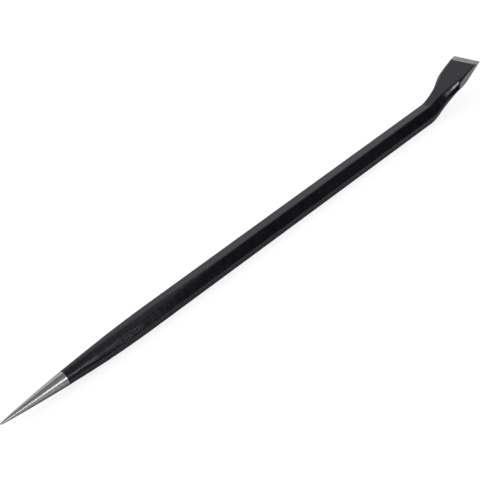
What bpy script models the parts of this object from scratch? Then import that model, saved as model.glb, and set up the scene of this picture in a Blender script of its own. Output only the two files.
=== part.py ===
"""Alignment bar: one forging of hexagonal steel bar, ground to a point at one end and flared into a bent chisel.

Metres, +Z up. X runs along the bar, from the point (-X) to the cutting edge (+X). The bar lies on one flat of its
hexagon and the chisel bends up from it. The origin is on that flat's plane, under the middle of the overall length.
Each node is the stretch of the forging that one operation shapes, and it meets the next face to face.
"""

import math

import bmesh
import bpy
from mathutils import Vector

# Hexagonal stock
OVERALL_LENGTH = 0.6096
ACROSS_FLATS = 0.01905
STOCK_CORNER_RADIUS = 0.0015

# Ground point, measured along its own axis: a flank power of 1 would make it a straight cone
GROUND_LENGTH = 0.0675
GROUND_BASE_RADIUS = 0.0071
NOSE_RADIUS = 0.00065
FLANK_POWER = 0.81

# Drawn taper, round at the ground point, that grows until it reaches the stock's corners
TAPER_RATE = 0.062
TAPER_BLEND = 0.0022

# The forging's slight bend towards its point, placed by its distance from the ground point's base
LEAN_ANGLE = math.radians(0.70)
LEAN_RADIUS = 0.500
LEAN_DISTANCE = 0.0385

# Bends of the chisel's front and back faces: each corner's reach back from the cutting edge
FRONT_BEND_REACH = 0.0688
FRONT_BEND_RADIUS = 0.0214
FRONT_ANGLE = math.radians(15.63)
BACK_BEND_REACH = 0.0646
BACK_BEND_RADIUS = 0.0325

# Grinding: the sides close in a little behind the edge, and the bevel turns down from the front face
EDGE_WIDTH = 0.0337
SIDE_TOE_IN = math.radians(2.45)
EDGE_LAND = 0.0003
BEVEL_LENGTH = 0.0071
BEVEL_TURN = math.radians(13.4)

# Flare of the forged blade: each corner's place beside the ground width, and its flare's start and end
FRONT_CORNER_INSET = 0.00255
FRONT_FLARE_START = 0.0645
FRONT_FLARE_END = 0.0143
BACK_CORNER_INSET = 0.0029
BACK_FLARE_START = 0.0636
BACK_FLARE_END = 0.0129
RIDGE_ALLOWANCE = 0.0024
RIDGE_FLARE_START = 0.0523
RIDGE_FLARE_END = 0.0188

# Sides of the forged blade: the ridge spreads into a steep side between a shoulder, near the front, and the ridge
SIDE_TILT = math.radians(13.6)
SHOULDER_SHARE = 0.144
SHOULDER_RISE_START = 0.0696
SHOULDER_RISE_END = 0.0225
RIDGE_SHARE = 0.245
RIDGE_DROP_START = 0.0454
RIDGE_DROP_END = 0.0163
FRONT_CORNER_RADIUS = 0.0025
SIDE_CORNER_RADIUS = 0.0010
BACK_CORNER_RADIUS = 0.0021

# Facets
CORNER_SEGMENTS = 5
FLAT_SEGMENTS = 6
POINT_RINGS = 24
POINT_SIDES = 60
TAPER_STEP = 0.005
CHISEL_STEP = 0.0022
SMOOTH_LIMIT = math.radians(25)
ON_PLANE = 1e-7

# Places that follow from the sizes
TIP_X = -OVERALL_LENGTH / 2
EDGE_X = OVERALL_LENGTH / 2
AXIS_HEIGHT = ACROSS_FLATS / 2
HEXAGON_SIDE = ACROSS_FLATS / math.sqrt(3)
CORNER_REACH = HEXAGON_SIDE - STOCK_CORNER_RADIUS * (2 / math.sqrt(3) - 1)
RIDGE_HALF_FLAT = STOCK_CORNER_RADIUS * math.tan(math.radians(15))
STOCK_RIDGE_SHARE = (AXIS_HEIGHT - RIDGE_HALF_FLAT) / ACROSS_FLATS
RING_X = TIP_X + GROUND_LENGTH * math.cos(LEAN_ANGLE)
LEAN_X = RING_X + LEAN_DISTANCE
TAPER_END_X = RING_X + (CORNER_REACH + TAPER_BLEND - GROUND_BASE_RADIUS) / TAPER_RATE
BEVEL_BASE_X = EDGE_X - BEVEL_LENGTH
BEVEL_BASE_HEIGHT = ACROSS_FLATS + (FRONT_BEND_REACH - BEVEL_LENGTH) * math.tan(FRONT_ANGLE)
EDGE_HEIGHT = BEVEL_BASE_HEIGHT + BEVEL_LENGTH * math.tan(FRONT_ANGLE - BEVEL_TURN)
BACK_ANGLE = math.atan2(EDGE_HEIGHT - EDGE_LAND, BACK_BEND_REACH)

BLACK_FINISH = {"colour": (0.013, 0.013, 0.016), "roughness": 0.38, "metallic": 0.0}
GROUND_STEEL = {"colour": (0.58, 0.58, 0.59), "roughness": 0.28, "metallic": 1.0}


def clear_scene():
    for obj in list(bpy.data.objects):
        bpy.data.objects.remove(obj)


def new_collection(name):
    collection = bpy.data.collections.new(name)
    bpy.context.scene.collection.children.link(collection)
    return collection


def new_material(name, look):
    """A Principled material with one finish's colour, roughness and metallic value."""
    material = bpy.data.materials.new(name)
    material.use_nodes = True
    shader = material.node_tree.nodes["Principled BSDF"]
    shader.inputs["Base Color"].default_value = (*look["colour"], 1.0)
    shader.inputs["Roughness"].default_value = look["roughness"]
    shader.inputs["Metallic"].default_value = look["metallic"]
    material.diffuse_color = (*look["colour"], 1.0)
    return material


def new_node(name, bm, looks, collection, rig):
    """A named object from the finished mesh, with one material of its own for each of its looks."""
    mesh = bpy.data.meshes.new(name)
    bm.to_mesh(mesh)
    bm.free()
    for i, look in enumerate(looks):
        mesh.materials.append(new_material(f"{name}_look_{i}", look))
    mesh.shade_smooth()
    mesh.set_sharp_from_angle(angle=SMOOTH_LIMIT)
    node = bpy.data.objects.new(name, mesh)
    node.parent = rig
    collection.objects.link(node)
    return node


def mix(low, high, share):
    return low + (high - low) * share


def ease(x, start, end):
    """0 before start, 1 after end, and a smooth rise between them."""
    share = min(max((x - start) / (end - start), 0.0), 1.0)
    return share * share * (3.0 - 2.0 * share)


def soft_minimum(a, b, blend):
    """The smaller of two lengths, rounded off where they differ by less than blend."""
    overlap = max(blend - abs(a - b), 0.0) / blend
    return min(a, b) - overlap * overlap * blend / 4.0


def stations(start, end, step):
    """Evenly spaced places from start to end, both included and no further apart than the step."""
    count = max(1, math.ceil((end - start) / step))
    return [mix(start, end, i / count) for i in range(count + 1)]


def tangent_length(radius, angle):
    return radius * math.tan(angle / 2.0)


def bend_rise(distance, radius, angle):
    """Rise of a level line that turns to the angle round an arc, at a distance past the corner of the bend."""
    along_arc = distance + tangent_length(radius, angle)
    if along_arc <= 0.0:
        return 0.0
    if along_arc < radius * math.sin(angle):
        return radius - math.sqrt(radius * radius - along_arc * along_arc)
    return distance * math.tan(angle)


def bend_slope(distance, radius, angle):
    """Angle of the same line at that distance."""
    along_arc = distance + tangent_length(radius, angle)
    return math.asin(min(max(along_arc / radius, 0.0), math.sin(angle)))


def bend_end(radius, angle):
    """Distance past the corner at which the arc has turned to the whole angle."""
    return tangent_length(radius, angle) * math.cos(angle)


def rounded_outline(corners, radii, flat_segments):
    """A convex outline whose corners are rounded by arcs, as far as its sides leave room for them."""
    outline = []
    for i, corner in enumerate(corners):
        before = corners[i - 1] - corner
        after = corners[(i + 1) % len(corners)] - corner
        turn = math.pi - before.angle(after)
        room = min(before.length, after.length) * 0.48
        tangent = min(tangent_length(radii[i], turn), room)
        fitted_radius = tangent / math.tan(turn / 2.0)
        inward = (before.normalized() + after.normalized()).normalized()
        centre = corner + inward * (fitted_radius / math.cos(turn / 2.0))
        first = corner + before.normalized() * tangent - centre
        last = corner + after.normalized() * tangent - centre
        for k in range(CORNER_SEGMENTS + 1):
            share = k / CORNER_SEGMENTS
            arm = first * math.sin((1.0 - share) * turn) + last * math.sin(share * turn)
            outline.append(centre + arm / math.sin(turn))
    return split_flats(outline, flat_segments)


def split_flats(outline, flat_segments):
    """The outline with points added along the flats between its corner arcs."""
    points = []
    for i, point in enumerate(outline):
        points.append(point)
        if i % (CORNER_SEGMENTS + 1) == CORNER_SEGMENTS:
            following = outline[(i + 1) % len(outline)]
            points += [point.lerp(following, k / flat_segments) for k in range(1, flat_segments)]
    return points


def both_sides(near):
    """The values of one side's corners, front to back, followed by those of the other side, back to front."""
    return near + near[::-1]


def mirrored(near):
    """An outline that is the same on both sides, from one side's half-widths and heights."""
    return [Vector(corner) for corner in near] + [Vector((-across, up)) for across, up in near[::-1]]


def stock_corners():
    """The stock's hexagon about its own centre, with flats at the top and the bottom."""
    half_side = HEXAGON_SIDE / 2
    return mirrored([(half_side, AXIS_HEIGHT), (HEXAGON_SIDE, 0.0), (half_side, -AXIS_HEIGHT)])


def place(outline, x, height, lean=0.0):
    """The outline's points on a plane across the bar, at a height and leaning with it."""
    rise, run = math.cos(lean), math.sin(lean)
    return [Vector((x + up * run, across, height + up * rise)) for across, up in outline]


def loft(rings):
    """Joins rings of equally many points into one closed skin with flat ends."""
    bm = bmesh.new()
    skins = [[bm.verts.new(point) for point in ring] for ring in rings]
    count = len(skins[0])
    for near, far in zip(skins, skins[1:]):
        for k in range(count):
            following = (k + 1) % count
            bm.faces.new((near[k], near[following], far[following], far[k]))
    bm.faces.new(skins[0])
    bm.faces.new(skins[-1])
    bmesh.ops.recalc_face_normals(bm, faces=bm.faces)
    return bm


def grind(bm, point, outward, look_index):
    """Takes off what lies outside a plane and closes the cut with a flat face of its own look."""
    geometry = bm.verts[:] + bm.edges[:] + bm.faces[:]
    bmesh.ops.bisect_plane(
        bm, geom=geometry, dist=ON_PLANE, plane_co=point, plane_no=outward, clear_outer=True
    )
    open_edges = [edge for edge in bm.edges if edge.is_boundary]
    closed = bmesh.ops.contextual_create(bm, geom=open_edges)
    for face in closed["faces"]:
        face.material_index = look_index
    bmesh.ops.recalc_face_normals(bm, faces=bm.faces)


def centre_line(x):
    """Height and lean of the bar's centre line, which bends up a little towards the point."""
    distance = LEAN_X - x
    height = AXIS_HEIGHT + bend_rise(distance, LEAN_RADIUS, LEAN_ANGLE)
    return height, bend_slope(distance, LEAN_RADIUS, LEAN_ANGLE)


def point_radius(distance):
    """Radius of the ground point at a distance from its tip: a full flank behind a small round nose."""
    growth = (distance / GROUND_LENGTH) ** FLANK_POWER
    flank = mix(NOSE_RADIUS, GROUND_BASE_RADIUS, growth)
    if distance >= NOSE_RADIUS:
        return flank
    return flank * math.sqrt(1.0 - (1.0 - distance / NOSE_RADIUS) ** 2)


def make_ground_point(collection, rig):
    """The bright point: its profile, from the base's middle out and along to the tip, turned about its axis."""
    bm = bmesh.new()
    profile = [bm.verts.new((0.0, 0.0, 0.0))]
    for i in range(POINT_RINGS, -1, -1):
        distance = GROUND_LENGTH * (i / POINT_RINGS) ** 2
        profile.append(bm.verts.new((distance - GROUND_LENGTH, 0.0, point_radius(distance))))
    for start, end in zip(profile, profile[1:]):
        bm.edges.new((start, end))
    point = new_node("ground_point", bm, [GROUND_STEEL], collection, rig)
    height, lean = centre_line(RING_X)
    point.location = (RING_X, 0.0, height)
    point.rotation_euler = (0.0, lean, 0.0)
    turned = point.modifiers.new("turned", "SCREW")
    turned.axis = "X"
    turned.steps = POINT_SIDES
    turned.render_steps = POINT_SIDES
    turned.use_merge_vertices = True
    turned.merge_threshold = 1e-6


def taper_ring(x):
    """The stock's hexagon, drawn down to a circle whose radius grows steadily from the ground point."""
    round_radius = GROUND_BASE_RADIUS + TAPER_RATE * (x - RING_X)
    stock = rounded_outline(stock_corners(), [STOCK_CORNER_RADIUS] * 6, FLAT_SEGMENTS)
    drawn = [spot * (soft_minimum(round_radius, spot.length, TAPER_BLEND) / spot.length) for spot in stock]
    height, lean = centre_line(x)
    return place(drawn, x, height, lean)


def make_drawn_taper(collection, rig):
    bm = loft([taper_ring(x) for x in stations(RING_X, TAPER_END_X, TAPER_STEP)])
    new_node("drawn_taper", bm, [BLACK_FINISH], collection, rig)


def make_hex_shank(end_x, collection, rig):
    """The straight stock: a six-sided prism whose long edges are rounded."""
    bm = bmesh.new()
    section = [bm.verts.new(point) for point in place(stock_corners(), TAPER_END_X, AXIS_HEIGHT)]
    swept = bmesh.ops.extrude_face_region(bm, geom=[bm.faces.new(section)])
    for vertex in swept["geom"]:
        if isinstance(vertex, bmesh.types.BMVert):
            vertex.co.x = end_x
    long_edges = [edge for edge in bm.edges if edge.calc_length() > HEXAGON_SIDE + ON_PLANE]
    bmesh.ops.bevel(
        bm,
        geom=long_edges,
        offset=tangent_length(STOCK_CORNER_RADIUS, math.radians(60)),
        segments=CORNER_SEGMENTS,
        profile=0.5,
        affect="EDGES",
    )
    bmesh.ops.recalc_face_normals(bm, faces=bm.faces)
    new_node("hex_shank", bm, [BLACK_FINISH], collection, rig)


def front_height(x):
    return ACROSS_FLATS + bend_rise(x - EDGE_X + FRONT_BEND_REACH, FRONT_BEND_RADIUS, FRONT_ANGLE)


def back_height(x):
    return bend_rise(x - EDGE_X + BACK_BEND_REACH, BACK_BEND_RADIUS, BACK_ANGLE)


def spread(x, start, end):
    """How far a change has gone at x, from 0 at its start's reach behind the edge to 1 at its end's."""
    return 1.0 - ease(EDGE_X - x, end, start)


def chisel_ring(x):
    """The stock's hexagon, forged flatter and wider towards the edge, with each ridge spread into a steep side.

    On the stock the shoulder and the ridge lie on one rounded corner, where their arcs make up its arc.
    """
    half_width = EDGE_WIDTH / 2
    front = mix(HEXAGON_SIDE / 2, half_width - FRONT_CORNER_INSET, spread(x, FRONT_FLARE_START, FRONT_FLARE_END))
    back = mix(HEXAGON_SIDE / 2, half_width - BACK_CORNER_INSET, spread(x, BACK_FLARE_START, BACK_FLARE_END))
    ridge = mix(CORNER_REACH, half_width + RIDGE_ALLOWANCE, spread(x, RIDGE_FLARE_START, RIDGE_FLARE_END))
    forged = spread(x, SHOULDER_RISE_START, SHOULDER_RISE_END)
    dropped = spread(x, RIDGE_DROP_START, RIDGE_DROP_END)
    top, bottom = front_height(x), back_height(x)
    shoulder_height = mix(top, bottom, mix(STOCK_RIDGE_SHARE, SHOULDER_SHARE, forged))
    ridge_height = mix(bottom, top, mix(STOCK_RIDGE_SHARE, RIDGE_SHARE, dropped))
    shoulder = ridge - math.tan(SIDE_TILT) * (shoulder_height - ridge_height) * forged
    near = [(front, top), (shoulder, shoulder_height), (ridge, ridge_height), (back, bottom)]
    forged_radii = (FRONT_CORNER_RADIUS, SIDE_CORNER_RADIUS, SIDE_CORNER_RADIUS, BACK_CORNER_RADIUS)
    radii = both_sides([mix(STOCK_CORNER_RADIUS, radius, forged) for radius in forged_radii])
    return place(rounded_outline(mirrored(near), radii, 1), x, 0.0)


def chisel_stretch(start, end):
    return loft([chisel_ring(x) for x in stations(start, end, CHISEL_STEP)])


def grind_sides(bm):
    """Grinds both sides of the blade flat."""
    for side in (1.0, -1.0):
        outward = Vector((-math.sin(SIDE_TOE_IN), side * math.cos(SIDE_TOE_IN), 0.0))
        grind(bm, Vector((EDGE_X, side * EDGE_WIDTH / 2, 0.0)), outward, 1)


def make_bent_neck(start, end, collection, rig):
    new_node("bent_neck", chisel_stretch(start, end), [BLACK_FINISH], collection, rig)


def make_chisel_blade(start, collection, rig):
    """The flared blade, whose ridges are ground off into two flat sides."""
    bm = chisel_stretch(start, BEVEL_BASE_X)
    grind_sides(bm)
    new_node("chisel_blade", bm, [BLACK_FINISH, GROUND_STEEL], collection, rig)


def make_cutting_edge(collection, rig):
    """The end of the blade, ground on both sides and bevelled from the front face."""
    bm = chisel_stretch(BEVEL_BASE_X, EDGE_X)
    grind_sides(bm)
    slope = FRONT_ANGLE - BEVEL_TURN
    bevel_base = Vector((BEVEL_BASE_X, 0.0, BEVEL_BASE_HEIGHT))
    grind(bm, bevel_base, Vector((-math.sin(slope), 0.0, math.cos(slope))), 1)
    new_node("cutting_edge", bm, [BLACK_FINISH, GROUND_STEEL], collection, rig)


def main():
    clear_scene()
    collection = new_collection("alignment_bar")
    rig = bpy.data.objects.new("alignment_bar_rig", None)
    collection.objects.link(rig)

    front_bend_x = EDGE_X - FRONT_BEND_REACH
    back_bend_x = EDGE_X - BACK_BEND_REACH
    neck_start = min(
        front_bend_x - tangent_length(FRONT_BEND_RADIUS, FRONT_ANGLE),
        back_bend_x - tangent_length(BACK_BEND_RADIUS, BACK_ANGLE),
    )
    neck_end = max(
        front_bend_x + bend_end(FRONT_BEND_RADIUS, FRONT_ANGLE),
        back_bend_x + bend_end(BACK_BEND_RADIUS, BACK_ANGLE),
    )

    make_ground_point(collection, rig)
    make_drawn_taper(collection, rig)
    make_hex_shank(neck_start, collection, rig)
    make_bent_neck(neck_start, neck_end, collection, rig)
    make_chisel_blade(neck_end, collection, rig)
    make_cutting_edge(collection, rig)


main()
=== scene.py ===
"""The looks of the alignment bar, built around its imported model. Metres, in the model's own frame."""

import math

import bmesh
import bpy
from mathutils import Matrix, Vector, noise


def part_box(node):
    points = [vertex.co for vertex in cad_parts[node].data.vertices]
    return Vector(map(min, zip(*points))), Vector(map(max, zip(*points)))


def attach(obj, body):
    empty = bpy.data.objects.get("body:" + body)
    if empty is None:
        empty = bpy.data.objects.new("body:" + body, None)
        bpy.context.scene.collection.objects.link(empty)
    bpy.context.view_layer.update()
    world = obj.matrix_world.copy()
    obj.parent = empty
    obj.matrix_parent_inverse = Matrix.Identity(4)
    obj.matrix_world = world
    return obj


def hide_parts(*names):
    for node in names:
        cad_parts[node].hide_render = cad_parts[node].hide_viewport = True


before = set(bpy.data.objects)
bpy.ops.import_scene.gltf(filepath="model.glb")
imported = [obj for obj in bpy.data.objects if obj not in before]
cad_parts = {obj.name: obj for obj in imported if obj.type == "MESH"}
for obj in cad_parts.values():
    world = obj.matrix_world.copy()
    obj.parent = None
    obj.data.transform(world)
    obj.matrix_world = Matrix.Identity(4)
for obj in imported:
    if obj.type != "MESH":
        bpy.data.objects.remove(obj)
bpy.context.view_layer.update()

# Camera, fitted to the photograph
CAMERA_PLACE = (-0.566571, -0.839464, 0.645680)
CAMERA_TURN = (
    (0.719382, 0.522184, -0.458053),
    (-0.648373, 0.268219, -0.712511),
    (-0.249203, 0.809557, 0.531522),
)
CAMERA_LENS = 96.0
SENSOR_WIDTH = 36.0
CAMERA_REACH = 20.0

# Sizes of the bar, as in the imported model
OVERALL_LENGTH = 0.6096
ACROSS_FLATS = 0.01905
STOCK_CORNER_RADIUS = 0.0015
GROUND_LENGTH = 0.0675
GROUND_BASE_RADIUS = 0.0071
NOSE_RADIUS = 0.00065
FLANK_POWER = 0.81
TAPER_RATE = 0.062
TAPER_BLEND = 0.0022
LEAN_ANGLE = math.radians(0.70)
LEAN_RADIUS = 0.500
LEAN_DISTANCE = 0.0385
FRONT_BEND_REACH = 0.0688
FRONT_BEND_RADIUS = 0.0214
FRONT_ANGLE = math.radians(15.63)
BACK_BEND_REACH = 0.0646
BACK_BEND_RADIUS = 0.0325
EDGE_WIDTH = 0.0337
SIDE_TOE_IN = math.radians(2.45)
EDGE_LAND = 0.0003
BEVEL_LENGTH = 0.0071
BEVEL_TURN = math.radians(13.4)
FRONT_CORNER_INSET = 0.00255
FRONT_FLARE = (0.0645, 0.0143)
BACK_CORNER_INSET = 0.0029
BACK_FLARE = (0.0636, 0.0129)
RIDGE_ALLOWANCE = 0.0024
RIDGE_FLARE = (0.0523, 0.0188)
SIDE_TILT = math.radians(13.6)
SHOULDER_SHARE = 0.144
SHOULDER_RISE = (0.0696, 0.0225)
RIDGE_SHARE = 0.245
RIDGE_DROP = (0.0454, 0.0163)
FORGED_RADII = (0.0025, 0.0010, 0.0010, 0.0021)

# Places that follow from them
TIP_X = -OVERALL_LENGTH / 2
EDGE_X = OVERALL_LENGTH / 2
AXIS_HEIGHT = ACROSS_FLATS / 2
HEXAGON_SIDE = ACROSS_FLATS / math.sqrt(3)
CORNER_REACH = HEXAGON_SIDE - STOCK_CORNER_RADIUS * (2 / math.sqrt(3) - 1)
STOCK_RIDGE_SHARE = (AXIS_HEIGHT - STOCK_CORNER_RADIUS * math.tan(math.radians(15))) / ACROSS_FLATS
RING_X = TIP_X + GROUND_LENGTH * math.cos(LEAN_ANGLE)
LEAN_X = RING_X + LEAN_DISTANCE
BEVEL_BASE_X = EDGE_X - BEVEL_LENGTH
BEVEL_BASE_HEIGHT = ACROSS_FLATS + (FRONT_BEND_REACH - BEVEL_LENGTH) * math.tan(FRONT_ANGLE)
EDGE_HEIGHT = BEVEL_BASE_HEIGHT + BEVEL_LENGTH * math.tan(FRONT_ANGLE - BEVEL_TURN)
BACK_ANGLE = math.atan2(EDGE_HEIGHT - EDGE_LAND, BACK_BEND_REACH)

# Studio: its floor, the planes that its cards stand in, and where each card ends
FLOOR_SIZE = 12.0
FLOOR_GREY = 0.22
FLOOR_GLOW = 0.82
ABOVE_HEIGHT = 2.4
ABOVE_NEAR = -2.33
ABOVE_FAR = 1.31
ABOVE_EDGES = (-4.0, 0.54, 4.4)
BEHIND_Y = 1.0
BEHIND_EDGES = (-3.0, -0.12, 0.30, 3.0)
BEHIND_MIDDLE = 0.95
BEHIND_TOP = 1.85
FRONT_Y = -0.9
FRONT_EDGES = (-1.6, 0.10, 0.15, 0.21, 0.27, 0.34, 0.715, 0.785, 0.91, 2.6)
FRONT_FOOT = 0.37
FRONT_NEAR_TOP = 0.72
FRONT_TOP = 0.97
FRONT_TALL_TOP = 1.6
LOWER_CARD_HEIGHT = 0.0004
LOWER_EDGES = (-1.6, -0.234, -0.2, 0.29, 2.4)
TIP_STRIP_START = -0.014
RIDGE_STRIP_START = -0.024
UNDER_STRIP_START = -0.012
LOWER_BACK = 0.40

# Soft lamps, which stand in a slot between two of the front cards
LAMP_Y = -0.92
LAMP_CENTRE = 0.39
LAMP_TALLNESS = 0.11
LAMP_SLOT = (0.33, 0.45)

# Colours of the black finish
COAT_DARK = (0.0026, 0.0023, 0.0056)
COAT_LIGHT = (0.0052, 0.0047, 0.0088)
COAT_WORN = (0.045, 0.043, 0.045)
COAT_TINT = (0.90, 0.88, 1.0, 1.0)
# Steel colour of the painted highlight streak on the chisel's near side
PAINTED_HIGHLIGHT_STEEL = (0.76, 0.76, 0.79)

# Ground steels: two colours, grinding marks to a metre along each axis, and the range of roughness
POINT_STEEL = {
    "dark": (0.55, 0.55, 0.56),
    "light": (0.68, 0.68, 0.69),
    "marks_per_metre": (2600.0, 240.0, 240.0),
    "roughness": (0.18, 0.26),
}
SIDE_STEEL = {
    "dark": (0.40, 0.40, 0.41),
    "light": (0.70, 0.70, 0.71),
    "marks_per_metre": (240.0, 240.0, 2600.0),
    "roughness": (0.2, 0.34),
}
BEVEL_STEEL = {
    "dark": (0.22, 0.22, 0.225),
    "light": (0.36, 0.36, 0.365),
    "marks_per_metre": (520.0, 30.0, 30.0),
    "roughness": (0.2, 0.34),
}

# Patterns of the finishes, in spots to a metre
PATCHES = 120.0
CLUMPS = 150.0
STAINS = 260.0
WORN_SPOTS = 340.0
PITS = 620.0
GRAIN = 1700.0
ROLLED_LINES = (16.0, 500.0, 500.0)
SCRATCHES = (120.0, 2400.0, 2400.0)

# Relief of the finishes
PATCH_DEPTH = 0.00022
LINE_DEPTH = 0.00004
PIT_DEPTH = 0.00032
GRAIN_DEPTH = 0.000012
MARK_DEPTH = 0.000006

# Traces of forging and drawing. Each rise and fall starts and ends at these distances, on the taper from the
# ground point and on the chisel from the cutting edge
DENT_SIZE = 0.0065
DENT_FRACTAL = (1.0, 2.0, 3)
TAPER_DENTS = 0.00012
TAPER_DENT_RISE = (0.0, 0.006)
TAPER_DENT_FALL = (0.055, 0.095)
CHISEL_DENTS = 0.00008
CHISEL_DENT_RISE = (0.0, 0.020)
CHISEL_DENT_FALL = (0.060, 0.075)
TAPER_SCALE_START = 0.35
TAPER_SCALE_RISE = (0.010, 0.045)
TAPER_SCALE_FALL = (0.066, 0.094)
CHISEL_SCALE = 0.45
CHISEL_SCALE_RISE = (0.030, 0.045)
CHISEL_SCALE_FALL = (0.062, 0.078)
DRAWN_CORNER_RADIUS = 0.0078
DRAWN_START = -0.165
DRAWN_END = -0.045

# The painted highlight on the chisel: a streak of steel colour beside the near ground side, laid along a
# line, and the shares of that line where it changes
STREAK_START = (0.2750, -0.0142, 0.0291)
STREAK_END = (0.2572, -0.0096, 0.0223)
STREAK_CORE = 0.0004
STREAK_REACH = (0.0014, 0.0021)
STREAK_RISE = (-0.02, 0.24)
STREAK_WANE = (0.40, 0.68)
STREAK_WANED = 0.36
STREAK_FALL = (0.80, 1.30)

# Facets of the visual model
CORNER_STEPS = 9
FLAT_SHARES = (0.06, 0.25, 0.5, 0.75, 0.94)
FLAT_POINTS = len(FLAT_SHARES)
CORNER_POINTS = CORNER_STEPS + 1 + FLAT_POINTS
STOCK_POINTS = 6 * CORNER_POINTS
CHISEL_POINTS = 8 * CORNER_POINTS
POINT_SIDES = 128
POINT_RINGS = 110
TAPER_STEP = 0.0008
SHANK_STEP = 0.0030
CHISEL_STEP = 0.0005
CORNER_ROOM = 0.48
SMOOTH_LIMIT = math.radians(30)
ON_PLANE = 1e-7

# How a face of the chisel was finished, kept as its material's number while the chisel is ground
FORGED = 0
GROUND = 1
GROUND_SIDE = 2


def mix(low, high, share):
    return low + (high - low) * share


def ease(x, start, end):
    """0 before start, 1 after end, and a smooth rise between them."""
    share = min(max((x - start) / (end - start), 0.0), 1.0)
    return share * share * (3.0 - 2.0 * share)


def swell(x, rise, fall):
    """0, then 1 from the end of the rise to the start of the fall, then 0 again."""
    return ease(x, *rise) * (1.0 - ease(x, *fall))


def soft_minimum(a, b, blend):
    """The smaller of two lengths, rounded off where they differ by less than blend."""
    overlap = max(blend - abs(a - b), 0.0) / blend
    return min(a, b) - overlap * overlap * blend / 4.0


def stations(start, end, step):
    count = max(1, math.ceil((end - start) / step))
    return [mix(start, end, i / count) for i in range(count + 1)]


def bend_rise(distance, radius, angle):
    """Rise of a level line that turns to the angle round an arc, at a distance past the bend's corner."""
    along_arc = distance + radius * math.tan(angle / 2.0)
    if along_arc <= 0.0:
        return 0.0
    if along_arc < radius * math.sin(angle):
        return radius - math.sqrt(radius * radius - along_arc * along_arc)
    return distance * math.tan(angle)


def rounded_outline(corners, radii):
    """A convex outline with rounded corners. Its flats have points too, closest together by the corners."""
    arcs = []
    for i, corner in enumerate(corners):
        before = corners[i - 1] - corner
        after = corners[(i + 1) % len(corners)] - corner
        turn = math.pi - before.angle(after)
        room = min(before.length, after.length) * CORNER_ROOM
        tangent = min(radii[i] * math.tan(turn / 2.0), room)
        radius = tangent / math.tan(turn / 2.0)
        inward = (before.normalized() + after.normalized()).normalized()
        centre = corner + inward * (radius / math.cos(turn / 2.0))
        first = corner + before.normalized() * tangent - centre
        last = corner + after.normalized() * tangent - centre
        arc = []
        for k in range(CORNER_STEPS + 1):
            share = k / CORNER_STEPS
            arm = first * math.sin((1.0 - share) * turn) + last * math.sin(share * turn)
            arc.append(centre + arm / math.sin(turn))
        arcs.append(arc)
    outline = []
    for arc, following in zip(arcs, arcs[1:] + arcs[:1]):
        outline += arc + [arc[-1].lerp(following[0], share) for share in FLAT_SHARES]
    return outline


def mirrored(near):
    """An outline that is the same on both sides, from one side's half-widths and heights."""
    return [Vector(corner) for corner in near] + [Vector((-across, up)) for across, up in near[::-1]]


def stock_outline(x):
    """The stock's hexagon about its centre. Its upper near corner is rounder where the bar was drawn."""
    half_side = HEXAGON_SIDE / 2
    corners = mirrored([(half_side, AXIS_HEIGHT), (HEXAGON_SIDE, 0.0), (half_side, -AXIS_HEIGHT)])
    drawn = mix(DRAWN_CORNER_RADIUS, STOCK_CORNER_RADIUS, ease(x, DRAWN_START, DRAWN_END))
    return rounded_outline(corners, [STOCK_CORNER_RADIUS] * 5 + [drawn])


def place(outline, x, height, lean=0.0):
    """The outline's points on a plane across the bar, at a height and leaning with it."""
    rise, run = math.cos(lean), math.sin(lean)
    return [Vector((x + up * run, across, height + up * rise)) for across, up in outline]


def centre_line(x):
    """Height and lean of the bar's centre line, which bends up a little towards the point."""
    distance = LEAN_X - x
    along_arc = distance + LEAN_RADIUS * math.tan(LEAN_ANGLE / 2.0)
    lean = math.asin(min(max(along_arc / LEAN_RADIUS, 0.0), math.sin(LEAN_ANGLE)))
    return AXIS_HEIGHT + bend_rise(distance, LEAN_RADIUS, LEAN_ANGLE), lean


def hammered(ring, centre, depth):
    """The ring with the shallow dents of forging, which only go inwards."""
    dented = []
    for point in ring:
        inward = Vector((0.0, -point.y, centre - point.z))
        dent = 0.5 + 0.5 * noise.fractal(point / DENT_SIZE, *DENT_FRACTAL)
        dented.append(point + inward.normalized() * (depth * min(max(dent, 0.0), 1.0)))
    return dented


def point_radius(distance):
    """Radius of the ground point at a distance from its tip: a full flank behind a small round nose."""
    flank = mix(NOSE_RADIUS, GROUND_BASE_RADIUS, (distance / GROUND_LENGTH) ** FLANK_POWER)
    if distance >= NOSE_RADIUS:
        return flank
    return flank * math.sqrt(1.0 - (1.0 - distance / NOSE_RADIUS) ** 2)


def point_rings():
    """Rings of the ground point from its base to its tip, on its own leaning axis."""
    height, lean = centre_line(RING_X)
    rings = []
    for i in range(POINT_RINGS, 0, -1):
        distance = GROUND_LENGTH * (i / POINT_RINGS) ** 2
        back = GROUND_LENGTH - distance
        centre_x = RING_X - back * math.cos(lean)
        centre_height = height + back * math.sin(lean)
        radius = point_radius(distance)
        turns = [2.0 * math.pi * k / POINT_SIDES for k in range(POINT_SIDES)]
        circle = [Vector((math.cos(turn), math.sin(turn))) * radius for turn in turns]
        rings.append(place(circle, centre_x, centre_height, lean))
    return rings


def taper_ring(x):
    """The stock's hexagon, drawn down to a circle whose radius grows steadily from the ground point."""
    round_radius = GROUND_BASE_RADIUS + TAPER_RATE * (x - RING_X)
    drawn = []
    for spot in stock_outline(x):
        reach = soft_minimum(round_radius, spot.length, TAPER_BLEND)
        drawn.append(spot * (reach / spot.length))
    height, lean = centre_line(x)
    depth = TAPER_DENTS * swell(x - RING_X, TAPER_DENT_RISE, TAPER_DENT_FALL)
    return hammered(place(drawn, x, height, lean), height, depth)


def shank_ring(x):
    return place(stock_outline(x), x, AXIS_HEIGHT)


def front_height(x):
    return ACROSS_FLATS + bend_rise(x - EDGE_X + FRONT_BEND_REACH, FRONT_BEND_RADIUS, FRONT_ANGLE)


def back_height(x):
    return bend_rise(x - EDGE_X + BACK_BEND_REACH, BACK_BEND_RADIUS, BACK_ANGLE)


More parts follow.
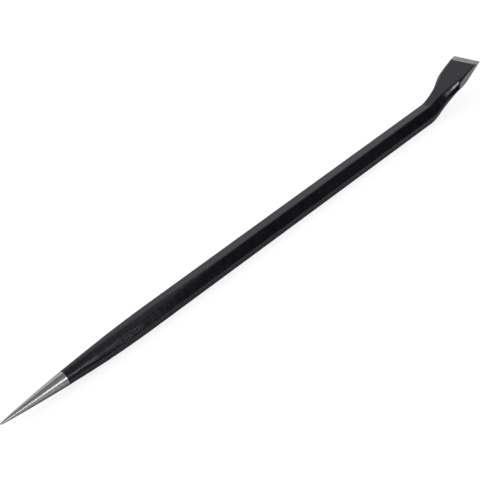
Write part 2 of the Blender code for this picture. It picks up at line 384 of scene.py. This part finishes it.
def spread(x, reach):
    """How far a change has gone at x, from 0 at its start's reach behind the edge to 1 at its end's."""
    start, end = reach
    return 1.0 - ease(EDGE_X - x, end, start)


def chisel_ring(x):
    """The hexagon, forged flatter and wider towards the edge, with each ridge spread into a steep side."""
    half_width = EDGE_WIDTH / 2
    front = mix(HEXAGON_SIDE / 2, half_width - FRONT_CORNER_INSET, spread(x, FRONT_FLARE))
    back = mix(HEXAGON_SIDE / 2, half_width - BACK_CORNER_INSET, spread(x, BACK_FLARE))
    ridge = mix(CORNER_REACH, half_width + RIDGE_ALLOWANCE, spread(x, RIDGE_FLARE))
    forged = spread(x, SHOULDER_RISE)
    dropped = spread(x, RIDGE_DROP)
    top, bottom = front_height(x), back_height(x)
    shoulder_height = mix(top, bottom, mix(STOCK_RIDGE_SHARE, SHOULDER_SHARE, forged))
    ridge_height = mix(bottom, top, mix(STOCK_RIDGE_SHARE, RIDGE_SHARE, dropped))
    shoulder = ridge - math.tan(SIDE_TILT) * (shoulder_height - ridge_height) * forged
    near = [(front, top), (shoulder, shoulder_height), (ridge, ridge_height), (back, bottom)]
    radii = [mix(STOCK_CORNER_RADIUS, radius, forged) for radius in FORGED_RADII]
    ring = place(rounded_outline(mirrored(near), radii + radii[::-1]), x, 0.0)
    depth = CHISEL_DENTS * swell(EDGE_X - x, CHISEL_DENT_RISE, CHISEL_DENT_FALL)
    return hammered(ring, (top + bottom) / 2, depth)


def loft(rings):
    """Joins rings of equally many points into one closed skin with flat ends."""
    bm = bmesh.new()
    skins = [[bm.verts.new(point) for point in ring] for ring in rings]
    count = len(skins[0])
    for near, far in zip(skins, skins[1:]):
        for k in range(count):
            following = (k + 1) % count
            bm.faces.new((near[k], near[following], far[following], far[k]))
    bm.faces.new(skins[0])
    bm.faces.new(skins[-1])
    bmesh.ops.recalc_face_normals(bm, faces=bm.faces)
    return bm


def mark(bm, ring_size, measures):
    """Writes measures from 0 to 1 on a loft's points, from each one's number in its ring and its place."""
    bm.verts.ensure_lookup_table()
    for name, measure in measures.items():
        layer = bm.verts.layers.float.new(name)
        for vertex in bm.verts:
            vertex[layer] = measure(vertex.index % ring_size, vertex.co)
    return bm


def corner_share(k, point):
    """How near a point is to the middle of a rounded corner."""
    share = k % CORNER_POINTS / CORNER_STEPS
    return math.sin(math.pi * share) if share < 1.0 else 0.0


def taper_scale(k, point):
    """How rough the drawn taper's surface is."""
    along = point.x - RING_X
    rise = mix(TAPER_SCALE_START, 1.0, ease(along, *TAPER_SCALE_RISE))
    return rise * (1.0 - ease(along, *TAPER_SCALE_FALL))


def chisel_scale(k, point):
    return CHISEL_SCALE * swell(EDGE_X - point.x, CHISEL_SCALE_RISE, CHISEL_SCALE_FALL)


def painted_highlight_streak(k, point):
    """Where the painted highlight lies: a streak of steel colour on the near side, between the front face
    and the shoulder.
    """
    start, end = Vector(STREAK_START), Vector(STREAK_END)
    share = (point - start).dot(end - start) / (end - start).length_squared
    away = (point - start.lerp(end, share)).length
    across = 1.0 - ease(away, STREAK_CORE, mix(*STREAK_REACH, min(max(share, 0.0), 1.0)))
    along = mix(1.0, STREAK_WANED, ease(share, *STREAK_WANE))
    return across * along * swell(share, STREAK_RISE, STREAK_FALL)


def grind(bm, point, outward):
    """Takes off what lies outside a plane and closes the cut with a flat ground face."""
    geometry = bm.verts[:] + bm.edges[:] + bm.faces[:]
    bmesh.ops.bisect_plane(
        bm, geom=geometry, dist=ON_PLANE, plane_co=point, plane_no=outward, clear_outer=True
    )
    open_edges = [edge for edge in bm.edges if edge.is_boundary]
    closed = bmesh.ops.contextual_create(bm, geom=open_edges)
    for face in closed["faces"]:
        face.material_index = GROUND
    bmesh.ops.recalc_face_normals(bm, faces=bm.faces)


def grind_sides(bm):
    for side in (1.0, -1.0):
        outward = Vector((-math.sin(SIDE_TOE_IN), side * math.cos(SIDE_TOE_IN), 0.0))
        grind(bm, Vector((EDGE_X, side * EDGE_WIDTH / 2, 0.0)), outward)


def new_piece(name, bm, material, node):
    """A piece that rides on the bar, stands for one of its nodes and takes its finish from a slot."""
    mesh = bpy.data.meshes.new(name)
    bm.to_mesh(mesh)
    bm.free()
    mesh.materials.append(material)
    mesh.shade_smooth()
    mesh.set_sharp_from_angle(angle=SMOOTH_LIMIT)
    piece = bpy.data.objects.new(name, mesh)
    bpy.context.scene.collection.objects.link(piece)
    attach(piece, "root")
    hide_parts(node)
    return piece


def only_finish(bm, finish):
    """A copy of the mesh with only the faces of one finish, which take the copy's first material."""
    part = bm.copy()
    others = [face for face in part.faces if face.material_index != finish]
    bmesh.ops.delete(part, geom=others, context="FACES")
    for face in part.faces:
        face.material_index = 0
    return part


def make_camera():
    data = bpy.data.cameras.new("camera")
    data.lens = CAMERA_LENS
    data.sensor_width = SENSOR_WIDTH
    data.clip_end = CAMERA_REACH
    camera = bpy.data.objects.new("camera", data)
    camera.matrix_world = Matrix.Translation(CAMERA_PLACE) @ Matrix(CAMERA_TURN).to_4x4()
    bpy.context.scene.collection.objects.link(camera)
    bpy.context.scene.camera = camera


def add_node(tree, kind, settings, inputs):
    """A node with its settings made and its first inputs set or linked. None leaves an input alone."""
    node = tree.nodes.new(kind)
    for name, value in settings.items():
        setattr(node, name, value)
    for socket, value in zip(node.inputs, inputs):
        if isinstance(value, bpy.types.NodeSocket):
            tree.links.new(value, socket)
        elif value is not None:
            socket.default_value = value
    return node


def bar_place(tree):
    """Where a point is on the bar, in metres."""
    return tree.nodes.new("ShaderNodeTexCoord").outputs["Object"]


def stretched(tree, place, scales):
    return add_node(tree, "ShaderNodeMapping", {}, (place, None, None, scales)).outputs[0]


def cloud(tree, place, scale, detail, roughness):
    """A noise from 0 to 1 whose largest spots are as many to a metre as its scale."""
    return add_node(tree, "ShaderNodeTexNoise", {}, (place, None, scale, detail, roughness)).outputs[0]


def ranged(tree, value, low, high, first=0.0, last=1.0):
    """The value carried from one range over to another, and held inside it."""
    return add_node(tree, "ShaderNodeMapRange", {}, (value, low, high, first, last)).outputs[0]


def product(tree, first, second):
    return add_node(tree, "ShaderNodeMath", {"operation": "MULTIPLY"}, (first, second)).outputs[0]


def total(tree, first, second):
    return add_node(tree, "ShaderNodeMath", {"operation": "ADD"}, (first, second)).outputs[0]


def blended(tree, share, first, second):
    """A colour between two others."""
    node = tree.nodes.new("ShaderNodeMix")
    node.data_type = "RGBA"
    colours = (first, second)
    tree.links.new(share, node.inputs[0])
    for socket, colour in zip((node.inputs[6], node.inputs[7]), colours):
        if isinstance(colour, bpy.types.NodeSocket):
            tree.links.new(colour, socket)
        else:
            socket.default_value = (*colour, 1.0)
    return node.outputs[2]


def bumped(tree, height, depth, normal=None):
    return add_node(tree, "ShaderNodeBump", {}, (1.0, depth, None, height, normal)).outputs[0]


def new_look(name):
    material = bpy.data.materials.new(name)
    material.use_nodes = True
    return material, material.node_tree, material.node_tree.nodes["Principled BSDF"]


def measure(tree, name):
    return add_node(tree, "ShaderNodeAttribute", {"attribute_name": name}, ()).outputs["Fac"]


def make_black_finish():
    """Black lacquer on forged steel: uneven, rough on the forged ends and worn thin on its corners, with a
    painted highlight streak of steel colour on the chisel's near side.
    """
    material, tree, shader = new_look("black_finish")
    place = bar_place(tree)
    patches = cloud(tree, place, PATCHES, detail=5.0, roughness=0.55)
    grain = cloud(tree, place, GRAIN, detail=3.0, roughness=0.6)
    rolled = cloud(tree, stretched(tree, place, ROLLED_LINES), 1.0, detail=4.0, roughness=0.55)
    pits = cloud(tree, place, PITS, detail=4.0, roughness=0.6)
    rough = measure(tree, "scale")
    wear = ranged(tree, cloud(tree, place, WORN_SPOTS, detail=6.0, roughness=0.7), 0.54, 0.76)
    clumps = ranged(tree, cloud(tree, place, CLUMPS, detail=3.0, roughness=0.6), 0.45, 0.65)
    specks = product(tree, product(tree, rough, clumps), ranged(tree, pits, 0.54, 0.68, last=0.36))
    rubbed = total(tree, product(tree, measure(tree, "corner"), wear), specks)
    # Painted highlight: a streak of steel colour, broken up by lines and pits, on the chisel's near side
    streak = measure(tree, "painted_highlight_streak")
    scratched = cloud(tree, stretched(tree, place, SCRATCHES), 1.0, detail=3.0, roughness=0.6)
    broken = total(tree, product(tree, scratched, 0.8), product(tree, pits, 0.2))
    highlight_gaps = ranged(tree, broken, 0.41, 0.60, last=-0.78)
    painted_highlight_share = ranged(tree, total(tree, streak, highlight_gaps), 0.0, 0.30, last=0.95)

    coat = blended(tree, ranged(tree, patches, 0.35, 0.65), COAT_DARK, COAT_LIGHT)
    worn = blended(tree, rubbed, coat, COAT_WORN)
    tree.links.new(blended(tree, painted_highlight_share, worn, PAINTED_HIGHLIGHT_STEEL), shader.inputs["Base Color"])
    tree.links.new(painted_highlight_share, shader.inputs["Metallic"])
    even = ranged(tree, patches, 0.3, 0.7, first=0.13, last=0.21)
    marked = total(tree, even, ranged(tree, rolled, 0.45, 0.75, last=0.08))
    dulled = total(tree, product(tree, rubbed, 0.15), product(tree, painted_highlight_share, 0.34))
    tree.links.new(total(tree, marked, dulled), shader.inputs["Roughness"])
    shader.inputs["IOR"].default_value = 1.5
    shader.inputs["Specular Tint"].default_value = COAT_TINT
    wavy = bumped(tree, patches, PATCH_DEPTH)
    lined = bumped(tree, rolled, LINE_DEPTH, wavy)
    pitted = bumped(tree, product(tree, pits, rough), PIT_DEPTH, lined)
    tree.links.new(bumped(tree, grain, GRAIN_DEPTH, pitted), shader.inputs["Normal"])
    return material


def make_ground_steel(name, dark, light, marks_per_metre, roughness):
    """Bare steel with the marks of grinding, closest together where their number to a metre is highest."""
    material, tree, shader = new_look(name)
    place = bar_place(tree)
    marks = cloud(tree, stretched(tree, place, marks_per_metre), 1.0, detail=4.0, roughness=0.65)
    stains = cloud(tree, place, STAINS, detail=5.0, roughness=0.6)
    share = total(tree, product(tree, marks, 0.6), product(tree, stains, 0.4))
    tree.links.new(blended(tree, ranged(tree, share, 0.38, 0.62), dark, light), shader.inputs["Base Color"])
    tree.links.new(ranged(tree, marks, 0.3, 0.7, *roughness), shader.inputs["Roughness"])
    shader.inputs["Metallic"].default_value = 1.0
    tree.links.new(bumped(tree, marks, MARK_DEPTH), shader.inputs["Normal"])
    return material


def matt_material(name, grey, glow=0.0):
    material = bpy.data.materials.new(name)
    material.use_nodes = True
    shader = material.node_tree.nodes["Principled BSDF"]
    shader.inputs["Base Color"].default_value = (grey, grey, grey, 1.0)
    shader.inputs["Roughness"].default_value = 1.0
    shader.inputs["Specular IOR Level"].default_value = 0.0
    shader.inputs["Emission Color"].default_value = (1.0, 1.0, 1.0, 1.0)
    shader.inputs["Emission Strength"].default_value = glow
    return material


def facing(place, aim):
    """The turn and place of something that stands at one point and faces another."""
    direction = Vector(aim) - Vector(place)
    return Matrix.Translation(place) @ direction.to_track_quat("-Z", "Y").to_matrix().to_4x4()


def make_floor():
    """A white floor. It glows a little where the camera or gloss sees it, which keeps its shadow pale."""
    bpy.ops.mesh.primitive_plane_add(size=FLOOR_SIZE, location=(0.0, 0.0, 0.0))
    floor = bpy.context.object
    floor.name = "floor"
    material = matt_material("floor", FLOOR_GREY)
    tree = material.node_tree
    rays = tree.nodes.new("ShaderNodeLightPath").outputs
    seen = total(tree, rays["Is Camera Ray"], rays["Is Glossy Ray"])
    shown = total(tree, seen, rays["Is Transmission Ray"])
    shader = tree.nodes["Principled BSDF"]
    tree.links.new(product(tree, shown, FLOOR_GLOW), shader.inputs["Emission Strength"])
    floor.data.materials.append(material)


def make_card(name, low, high, grey, glow=0.0):
    """A plain studio card that the bar's gloss shows. The camera doesn't see it, and it casts no shadow."""
    low, high = Vector(low), Vector(high)
    middle, size = (low + high) / 2, high - low
    across = [axis for axis in range(3) if size[axis] > 0.0]
    corners = []
    for first, second in ((0, 0), (1, 0), (1, 1), (0, 1)):
        corner = middle.copy()
        corner[across[0]] = (low, high)[first][across[0]]
        corner[across[1]] = (low, high)[second][across[1]]
        corners.append(corner)
    mesh = bpy.data.meshes.new(name)
    mesh.from_pydata(corners, [], [(0, 1, 2, 3)])
    mesh.materials.append(matt_material(name, grey, glow))
    card = bpy.data.objects.new(name, mesh)
    bpy.context.scene.collection.objects.link(card)
    card.visible_camera = False
    card.visible_diffuse = False
    card.visible_shadow = False


def make_world():
    world = bpy.data.worlds.new("studio")
    world.use_nodes = True
    world.node_tree.nodes["Background"].inputs["Color"].default_value = (1.0, 1.0, 1.0, 1.0)
    world.node_tree.nodes["Background"].inputs["Strength"].default_value = 1.0
    bpy.context.scene.world = world


def make_lamp(name, x, width, radiance):
    """A soft lamp that the bar's gloss shows, as bright as asked when it is looked at."""
    data = bpy.data.lights.new(name, "AREA")
    data.shape = "RECTANGLE"
    data.size = width
    data.size_y = LAMP_TALLNESS
    data.energy = radiance * math.pi * width * LAMP_TALLNESS
    lamp = bpy.data.objects.new(name, data)
    lamp.matrix_world = facing((x, LAMP_Y, LAMP_CENTRE), (x, 0.0, LAMP_CENTRE))
    lamp.visible_camera = False
    lamp.visible_diffuse = False
    bpy.context.scene.collection.objects.link(lamp)


def make_card_above(name, span, glow):
    make_card(name, (span[0], ABOVE_NEAR, ABOVE_HEIGHT), (span[1], ABOVE_FAR, ABOVE_HEIGHT), 0.0, glow)


def make_card_behind(name, span, low, high, glow):
    make_card(name, (span[0], BEHIND_Y, low), (span[1], BEHIND_Y, high), 0.0, glow)


def make_card_in_front(name, span, low, high, glow):
    make_card(name, (span[0], FRONT_Y, low), (span[1], FRONT_Y, high), 0.0, glow)


def make_card_below(name, span, near, far, grey):
    """A grey card just above the floor, without a glow."""
    make_card(name, (span[0], near, LOWER_CARD_HEIGHT), (span[1], far, LOWER_CARD_HEIGHT), grey)


def make_cards():
    """Cards, side by side from left to right, as bright as the bar's reflections in the photo call for."""
    left, right = zip(ABOVE_EDGES, ABOVE_EDGES[1:])
    make_card_above("card_above_left", left, 0.20)
    make_card_above("card_above_right", right, 0.50)

    left, middle, right = zip(BEHIND_EDGES, BEHIND_EDGES[1:])
    whole = (BEHIND_EDGES[0], BEHIND_EDGES[-1])
    make_card_behind("card_behind_left", left, 0.0, BEHIND_MIDDLE, 0.82)
    make_card_behind("card_behind_middle", middle, 0.0, BEHIND_MIDDLE, 0.55)
    make_card_behind("card_behind_right", right, 0.0, BEHIND_MIDDLE, 0.84)
    make_card_behind("card_behind_high", whole, BEHIND_MIDDLE, BEHIND_TOP, 0.70)

    slotted, near, tall, middle, *others = zip(FRONT_EDGES, FRONT_EDGES[1:])
    make_card_in_front("card_front_low", slotted, 0.0, LAMP_SLOT[0], 0.32)
    make_card_in_front("card_front_high", slotted, LAMP_SLOT[1], FRONT_TOP, 0.46)
    make_card_in_front("card_near_foot", near, 0.0, FRONT_FOOT, 0.24)
    make_card_in_front("card_front_near", near, FRONT_FOOT, FRONT_NEAR_TOP, 0.38)
    make_card_in_front("card_front_foot", tall, 0.0, FRONT_FOOT, 0.10)
    make_card_in_front("card_front_tall", tall, FRONT_FOOT, FRONT_TALL_TOP, 0.72)
    make_card_in_front("card_middle_foot", middle, 0.0, FRONT_FOOT, 0.04)
    make_card_in_front("card_front_middle", middle, FRONT_FOOT, FRONT_TALL_TOP, 0.40)
    glows = {
        "card_front_far": 0.12,
        "card_right_near": 0.07,
        "card_right_strip": 0.20,
        "card_right_middle": 0.10,
        "card_right_far": 0.022,
    }
    for (name, glow), span in zip(glows.items(), others):
        make_card_in_front(name, span, 0.0, FRONT_TOP, glow)

    beside_point, left, middle, right = zip(LOWER_EDGES, LOWER_EDGES[1:])
    beside_bar = (LOWER_EDGES[1], LOWER_EDGES[-1])
    whole = (LOWER_EDGES[0], LOWER_EDGES[-1])
    make_card_below("card_floor_point", beside_point, FRONT_Y, TIP_STRIP_START, 0.42)
    make_card_below("card_floor_left", left, FRONT_Y, RIDGE_STRIP_START, 0.20)
    make_card_below("card_floor_middle", middle, FRONT_Y, RIDGE_STRIP_START, 0.08)
    make_card_below("card_floor_right", right, FRONT_Y, RIDGE_STRIP_START, 0.30)
    make_card_below("card_floor_tip", beside_point, TIP_STRIP_START, 0.0, 0.24)
    make_card_below("card_floor_ridge", beside_bar, RIDGE_STRIP_START, UNDER_STRIP_START, 0.90)
    make_card_below("card_floor_under", beside_bar, UNDER_STRIP_START, 0.0, 0.44)
    make_card_below("card_floor_back", whole, 0.0, LOWER_BACK, 0.14)


def make_studio():
    make_floor()
    make_world()
    make_cards()
    make_lamp("lamp_left", x=-0.51, width=0.84, radiance=3.0)
    make_lamp("lamp_right", x=0.02, width=0.16, radiance=8.2)


def make_bar():
    """The six stretches of the bar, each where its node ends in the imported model."""
    black = make_black_finish()
    point_steel = make_ground_steel("point_steel", **POINT_STEEL)
    side_steel = make_ground_steel("side_steel", **SIDE_STEEL)
    bevel_steel = make_ground_steel("bevel_steel", **BEVEL_STEEL)

    ends = {name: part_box(name) for name in ("hex_shank", "bent_neck", "chisel_blade")}
    taper_end = ends["hex_shank"][0][0]
    neck_start = ends["bent_neck"][0][0]
    neck_end = ends["chisel_blade"][0][0]

    new_piece("point_steel", loft(point_rings()), point_steel, "ground_point")
    rough_taper = {"corner": corner_share, "scale": taper_scale}
    # The chisel's measures include where its painted highlight streak lies
    rough_chisel = {"corner": corner_share, "scale": chisel_scale, "painted_highlight_streak": painted_highlight_streak}
    taper = loft([taper_ring(x) for x in stations(RING_X, taper_end, TAPER_STEP)])
    new_piece("taper_black", mark(taper, STOCK_POINTS, rough_taper), black, "drawn_taper")
    shank = loft([shank_ring(x) for x in stations(taper_end, neck_start, SHANK_STEP)])
    shank = mark(shank, STOCK_POINTS, {"corner": corner_share})
    new_piece("shank_black", shank, black, "hex_shank")
    neck = loft([chisel_ring(x) for x in stations(neck_start, neck_end, CHISEL_STEP)])
    new_piece("neck_black", mark(neck, CHISEL_POINTS, rough_chisel), black, "bent_neck")

    blade = loft([chisel_ring(x) for x in stations(neck_end, BEVEL_BASE_X, CHISEL_STEP)])
    mark(blade, CHISEL_POINTS, rough_chisel)
    grind_sides(blade)
    new_piece("blade_black", only_finish(blade, FORGED), black, "chisel_blade")
    new_piece("blade_sides", only_finish(blade, GROUND), side_steel, "chisel_blade")
    blade.free()

    edge = loft([chisel_ring(x) for x in stations(BEVEL_BASE_X, EDGE_X, CHISEL_STEP)])
    mark(edge, CHISEL_POINTS, {"corner": corner_share})
    grind_sides(edge)
    for face in edge.faces:
        face.material_index = GROUND_SIDE if face.material_index == GROUND else FORGED
    slope = FRONT_ANGLE - BEVEL_TURN
    bevel_base = Vector((BEVEL_BASE_X, 0.0, BEVEL_BASE_HEIGHT))
    grind(edge, bevel_base, Vector((-math.sin(slope), 0.0, math.cos(slope))))
    new_piece("edge_black", only_finish(edge, FORGED), black, "cutting_edge")
    new_piece("edge_sides", only_finish(edge, GROUND_SIDE), side_steel, "cutting_edge")
    new_piece("edge_bevel", only_finish(edge, GROUND), bevel_steel, "cutting_edge")
    edge.free()


bpy.context.scene.view_settings.view_transform = "Standard"
make_camera()
make_bar()
make_studio()
